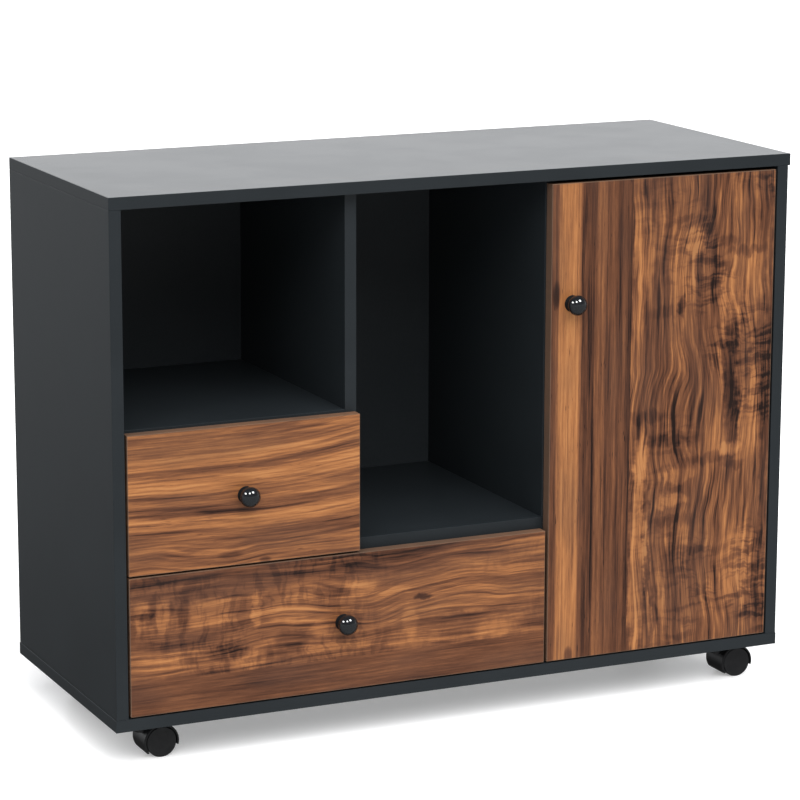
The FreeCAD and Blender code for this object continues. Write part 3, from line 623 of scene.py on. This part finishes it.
def slot_materials():
    """One material for each slot that the record names."""
    return {
        "melamine": melamine("melamine_black"),
        "hardboard": hardboard(),
        "upper_front_print": wood("walnut_upper", "upper_drawer_front", False, upper_lightness),
        "lower_front_print": wood("walnut_lower", "lower_drawer_front", False, lower_lightness),
        "door_print": wood("walnut_door", "door_panel", True, door_lightness),
        "knob_gloss": gloss_black(),
        "zinc": metal("cast_zinc", (0.52, 0.52, 0.54), roughness=0.42),
        "beech": beech(),
        "runner_steel": powder_coat(),
        "screw_steel": metal("screw_steel", (0.46, 0.46, 0.47), roughness=0.32),
        "nickel": metal("nickel_plate", (0.66, 0.64, 0.60), roughness=0.2),
        "roller_nylon": moulded("roller_nylon", (0.60, 0.60, 0.57), (0.70, 0.70, 0.67),
                                roughness=0.45),
        "caster_steel": metal("caster_steel", (0.42, 0.42, 0.44), roughness=0.36,
                              brushed=0.05),
        "caster_plastic": moulded("caster_hood", (0.0045, 0.0045, 0.0050),
                                  (0.0075, 0.0075, 0.0080), roughness=0.36),
        "caster_wheel_plastic": moulded("caster_wheel", (0.0050, 0.0050, 0.0055),
                                        (0.0090, 0.0090, 0.0095), roughness=0.42),
    }


def dress():
    """Puts the materials on the pieces. The top board's upper face is satin."""
    made = slot_materials()
    for part in frame["record"]["subparts"]:
        node = frame["nodes"][part["node"]]
        for place in node.material_slots:
            place.material = made[part["material_slot"]]
    polished = melamine("melamine_top", polished_above=cad_box[1].z - SATIN_DEPTH)
    for place in frame["nodes"]["top_board"].material_slots:
        place.material = polished


# ---- floor, light and camera -----------------------------------------------------------------

FLOOR_SIZE = 40.0
FLOOR_DARK = (0.78, 0.78, 0.78)
FLOOR_LIGHT = (0.81, 0.81, 0.81)
FLOOR_GLOW = 0.29
FLOOR_ROUGHNESS = 0.38


def make_floor():
    """White floor that glows a little. Shiny surfaces see the grey below the horizon
    instead of it."""
    g = Graph("floor_white")
    speck = g.noise(g.place, 60.0)
    colour = g.mix(speck, FLOOR_DARK, FLOOR_LIGHT)
    white = g.finish(base_color=colour, roughness=FLOOR_ROUGHNESS, specular_ior_level=0.5,
                     emission_color=(1.0, 1.0, 1.0), emission_strength=FLOOR_GLOW)
    bpy.ops.mesh.primitive_plane_add(size=FLOOR_SIZE, location=(0, 0, cad_box[0].z))
    floor = bpy.context.object
    floor.name = "floor"
    floor.data.materials.append(white)
    floor.visible_glossy = False


# Sky stops are (upward part of the direction, colour).
SKY_BEHIND = [
    (-1.00, (0.05, 0.05, 0.05)),
    (-0.32, (0.06, 0.06, 0.06)),
    (-0.12, (0.42, 0.43, 0.44)),
    (-0.03, (0.42, 0.43, 0.44)),
    (0.01, (1.10, 1.12, 1.14)),
    (0.32, (1.15, 1.17, 1.20)),
    (0.44, (0.16, 0.16, 0.17)),
    (1.00, (0.10, 0.10, 0.11)),
]
SKY_IN_FRONT = [
    (-1.00, (0.42, 0.43, 0.44)),
    (-0.03, (0.40, 0.41, 0.42)),
    (0.12, (0.48, 0.49, 0.50)),
    (0.22, (0.12, 0.12, 0.13)),
    (1.00, (0.06, 0.06, 0.07)),
]
SKY_BLEND = 0.3             # front and back mix where the direction's Y part is within this


def sky_ramp(tree, height, stops):
    """Colour by height, which is 0 straight down and 1 straight up."""
    ramp = tree.nodes.new("ShaderNodeValToRGB")
    tree.links.new(height, ramp.inputs[0])
    set_stops(ramp, [((upward + 1) / 2, colour) for upward, colour in stops])
    return ramp.outputs["Color"]


def make_world():
    """Sky of a studio: a pale wall behind, grey below the horizon and a dark ceiling."""
    world = bpy.data.worlds.new("studio")
    bpy.context.scene.world = world
    world.use_nodes = True
    tree = world.node_tree
    coords = tree.nodes.new("ShaderNodeTexCoord")
    split = tree.nodes.new("ShaderNodeSeparateXYZ")
    tree.links.new(coords.outputs["Generated"], split.inputs[0])
    height = tree.nodes.new("ShaderNodeMapRange")
    height.inputs["From Min"].default_value = -1.0
    tree.links.new(split.outputs[2], height.inputs["Value"])
    behind = tree.nodes.new("ShaderNodeMapRange")
    behind.inputs["From Min"].default_value = -SKY_BLEND
    behind.inputs["From Max"].default_value = SKY_BLEND
    tree.links.new(split.outputs[1], behind.inputs["Value"])
    blend = tree.nodes.new("ShaderNodeMix")
    blend.data_type = "RGBA"
    front, back = [s for s in blend.inputs if s.type == "RGBA"]
    tree.links.new(behind.outputs["Result"], blend.inputs["Factor"])
    tree.links.new(sky_ramp(tree, height.outputs["Result"], SKY_IN_FRONT), front)
    tree.links.new(sky_ramp(tree, height.outputs["Result"], SKY_BEHIND), back)
    colour = next(s for s in blend.outputs if s.type == "RGBA")
    tree.links.new(colour, tree.nodes["Background"].inputs["Color"])


def direction(azimuth, elevation):
    """Unit vector to a place at an azimuth (0 is in front, 90 at the right) and elevation."""
    a = math.radians(azimuth)
    e = math.radians(elevation)
    return Vector((math.sin(a) * math.cos(e), -math.cos(a) * math.cos(e), math.sin(e)))


def aimed(name, data, target, azimuth, elevation, distance):
    """A light at that distance from target, which it faces."""
    away = direction(azimuth, elevation)
    light = bpy.data.objects.new(name, data)
    light.location = target + away * distance
    light.rotation_euler = (-away).to_track_quat("-Z", "Y").to_euler()
    bpy.context.scene.collection.objects.link(light)
    return light


# Each overhead is (name, azimuth, elevation, strength, spread). Angles are in degrees.
OVERHEADS = [
    ("overhead_left", -34.0, 52.0, 4.45, 60.0),
    ("overhead_right", 24.0, 50.0, 3.7, 60.0),
    ("low_fill", -50.0, 14.0, 0.35, 40.0),
]
OVERHEAD_DISTANCE = 4.0
# Each lamp is (name, azimuth, elevation, side of the square in metres, watts).
LAMPS = [
    ("lamp_left", -62.0, 34.0, 0.75, 50.0),
    ("lamp_middle", -18.0, 42.0, 0.85, 70.0),
    ("lamp_right", 30.0, 46.0, 1.05, 105.0),
]
LAMP_DISTANCE = 3.4


def overhead(name, target, azimuth, elevation, strength, spread):
    """Wide soft light over everything. It isn't seen in shiny surfaces."""
    data = bpy.data.lights.new(name, "SUN")
    data.energy = strength
    data.angle = math.radians(spread)
    light = aimed(name, data, target, azimuth, elevation, OVERHEAD_DISTANCE)
    light.visible_glossy = False


def lamp(name, target, azimuth, elevation, size, watts, lit):
    """A small square studio lamp on the objects in lit, which puts bright spots in them."""
    data = bpy.data.lights.new(name, "AREA")
    data.shape = "SQUARE"
    data.size = size
    data.energy = watts
    light = aimed(name, data, target, azimuth, elevation, LAMP_DISTANCE)
    light.light_linking.receiver_collection = lit


LENS = 146.35
CAMERA_AZIMUTH = -24.84
CAMERA_ELEVATION = 12.33
CAMERA_DISTANCE = 3.900
CAMERA_ROLL = 0.154
AIM = Vector((-0.0856, -0.168, 0.4195))
SENSOR_WIDTH = 36.0
CLIP_END = 60.0


def make_camera():
    """The photograph's camera, fitted to the corners of the carcass."""
    data = bpy.data.cameras.new("camera")
    data.lens = LENS
    data.sensor_width = SENSOR_WIDTH
    data.clip_end = CLIP_END
    camera = bpy.data.objects.new("camera", data)
    away = direction(CAMERA_AZIMUTH, CAMERA_ELEVATION)
    camera.location = AIM + away * CAMERA_DISTANCE
    roll = Quaternion((0, 0, 1), math.radians(CAMERA_ROLL))
    camera.rotation_mode = "QUATERNION"
    camera.rotation_quaternion = (-away).to_track_quat("-Z", "Y") @ roll
    bpy.context.scene.collection.objects.link(camera)
    bpy.context.scene.camera = camera


def make_lights():
    """Soft light over the whole stand, and three lamps for the knobs alone."""
    centre = (cad_box[0] + cad_box[1]) / 2
    for name, azimuth, elevation, strength, spread in OVERHEADS:
        overhead(name, centre, azimuth, elevation, strength, spread)
    knobs = bpy.data.collections.new("knobs_lit")
    for name in KNOBS:
        knobs.objects.link(frame["nodes"][name])
    for name, azimuth, elevation, size, watts in LAMPS:
        lamp(name, centre, azimuth, elevation, size, watts, knobs)


dress()
make_floor()
make_world()
make_lights()
make_camera()
bpy.context.scene.view_settings.view_transform = "Standard"
